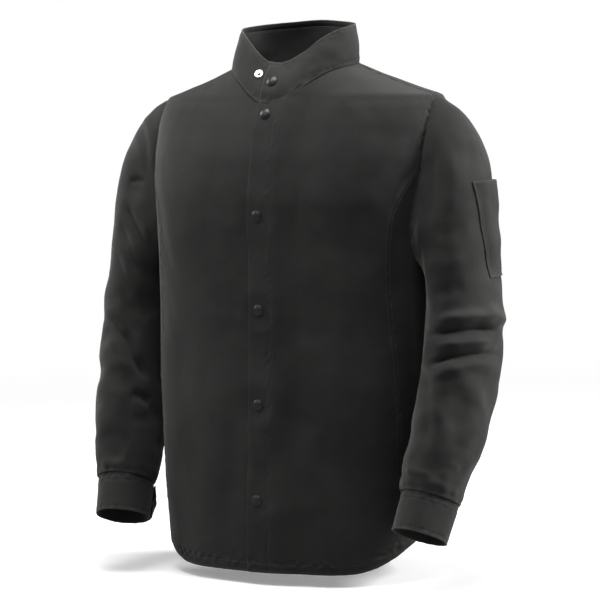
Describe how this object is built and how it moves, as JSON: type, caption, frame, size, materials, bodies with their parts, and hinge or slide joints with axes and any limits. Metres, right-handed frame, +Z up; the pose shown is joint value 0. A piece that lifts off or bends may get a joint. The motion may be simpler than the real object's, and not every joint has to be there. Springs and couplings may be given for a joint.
{
  "type": "welding jacket",
  "caption": "Snap-front welding jacket with a stand collar, set-in sleeves with banded cuffs, a sleeve pocket and a shirt-tail hem.",
  "frame": {"origin": "middle of the whole jacket's footprint seen from above, at the lowest point of the hem", "axes": "+Z up, the wearer's front faces -Y, +X is the wearer's left"},
  "size_m": [0.6308, 0.3036, 0.8023],
  "materials": {
    "shell_cloth": "matt heavy twill, charcoal black",
    "inner_cloth": "matt twill, inside face",
    "tape": "woven tape",
    "snap_caps": "satin black enamel over domed metal",
    "snap_metal": "nickel plate",
    "bright_stud": "bright nickel"
  },
  "bodies": {
    "jacket_body": {"back_panel": "shell_cloth", "left_side_panel": "shell_cloth", "right_side_panel": "shell_cloth", "left_front_fold": "shell_cloth", "right_front_fold": "shell_cloth", "collar_back": "shell_cloth", "collar_lining": "inner_cloth", "left_collar_fold": "shell_cloth", "right_collar_fold": "shell_cloth", "hang_loop": "tape"},
    "left_front": {"left_front_panel": "shell_cloth", "left_front_facing": "inner_cloth", "collar_left_end": "shell_cloth", "front_snap_caps": "snap_caps", "front_snap_sockets": "snap_metal"},
    "right_front": {"right_front_panel": "shell_cloth", "right_front_facing": "inner_cloth", "collar_right_end": "shell_cloth", "front_snap_studs": "snap_metal", "front_snap_posts": "snap_metal", "collar_spare_stud": "bright_stud", "collar_spare_post": "snap_metal"},
    "left_upper_sleeve": {"left_sleeve_cap": "shell_cloth", "left_upper_sleeve": "shell_cloth", "left_elbow_sleeve": "shell_cloth", "left_sleeve_pocket": "shell_cloth"},
    "left_forearm": {"left_forearm_sleeve": "shell_cloth", "left_cuff": "shell_cloth", "left_cuff_snap_stud": "snap_metal", "left_cuff_snap_post": "snap_metal"},
    "left_cuff_closure": {"left_cuff_tab": "shell_cloth", "left_cuff_snap_cap": "snap_caps", "left_cuff_snap_socket": "snap_metal"},
    "right_upper_sleeve": {"right_sleeve_cap": "shell_cloth", "right_upper_sleeve": "shell_cloth", "right_elbow_sleeve": "shell_cloth"},
    "right_forearm": {"right_forearm_sleeve": "shell_cloth", "right_cuff": "shell_cloth", "right_cuff_snap_stud": "snap_metal", "right_cuff_snap_post": "snap_metal"},
    "right_cuff_closure": {"right_cuff_tab": "shell_cloth", "right_cuff_snap_cap": "snap_caps", "right_cuff_snap_socket": "snap_metal"}
  },
  "joints": [
    {"name": "left_front_open", "type": "hinge", "parent": "jacket_body", "child": "left_front", "pos_m": [0.11, -0.08579, 0.35526], "axis": [-0.1056, 0.0417, 0.9935], "range_deg": [0, 75], "deforming": ["left_front_fold", "left_collar_fold"]},
    {"name": "right_front_open", "type": "hinge", "parent": "jacket_body", "child": "right_front", "pos_m": [-0.11, -0.08579, 0.35526], "axis": [-0.1056, -0.0417, -0.9935], "range_deg": [0, 37.5], "deforming": ["right_front_fold", "right_collar_fold"]},
    {"name": "left_sleeve_raise", "type": "hinge", "parent": "jacket_body", "child": "left_upper_sleeve", "pos_m": [0.205, 0.00721, 0.53326], "axis": [0, -1, 0], "range_deg": [0, 35], "deforming": ["left_sleeve_cap", "left_sleeve_pocket"]},
    {"name": "left_elbow_bend", "type": "hinge", "parent": "left_upper_sleeve", "child": "left_forearm", "pos_m": [0.2653, -0.0214, 0.30326], "axis": [-1, 0, 0], "range_deg": [-10, 45], "stiffness_Nm_per_rad": 1.5, "deforming": ["left_elbow_sleeve"]},
    {"name": "left_cuff_open", "type": "hinge", "parent": "left_forearm", "child": "left_cuff_closure", "pos_m": [0.26362, -0.0549, 0.10872], "axis": [-0.1092, -0.3927, -0.9132], "range_deg": [0, 70], "stiffness_Nm_per_rad": 0.02},
    {"name": "right_sleeve_raise", "type": "hinge", "parent": "jacket_body", "child": "right_upper_sleeve", "pos_m": [-0.205, 0.00721, 0.53326], "axis": [0, 1, 0], "range_deg": [0, 35], "deforming": ["right_sleeve_cap"]},
    {"name": "right_elbow_bend", "type": "hinge", "parent": "right_upper_sleeve", "child": "right_forearm", "pos_m": [-0.2653, -0.0214, 0.30326], "axis": [-1, 0, 0], "range_deg": [-10, 45], "stiffness_Nm_per_rad": 1.5, "deforming": ["right_elbow_sleeve"]},
    {"name": "right_cuff_open", "type": "hinge", "parent": "right_forearm", "child": "right_cuff_closure", "pos_m": [-0.26362, -0.0549, 0.10872], "axis": [-0.1092, 0.3927, 0.9132], "range_deg": [0, 70], "stiffness_Nm_per_rad": 0.02}
  ],
  "couplings": [
    {"joint": "right_front_open", "follows": "left_front_open", "ratio": 0.5}
  ]
}
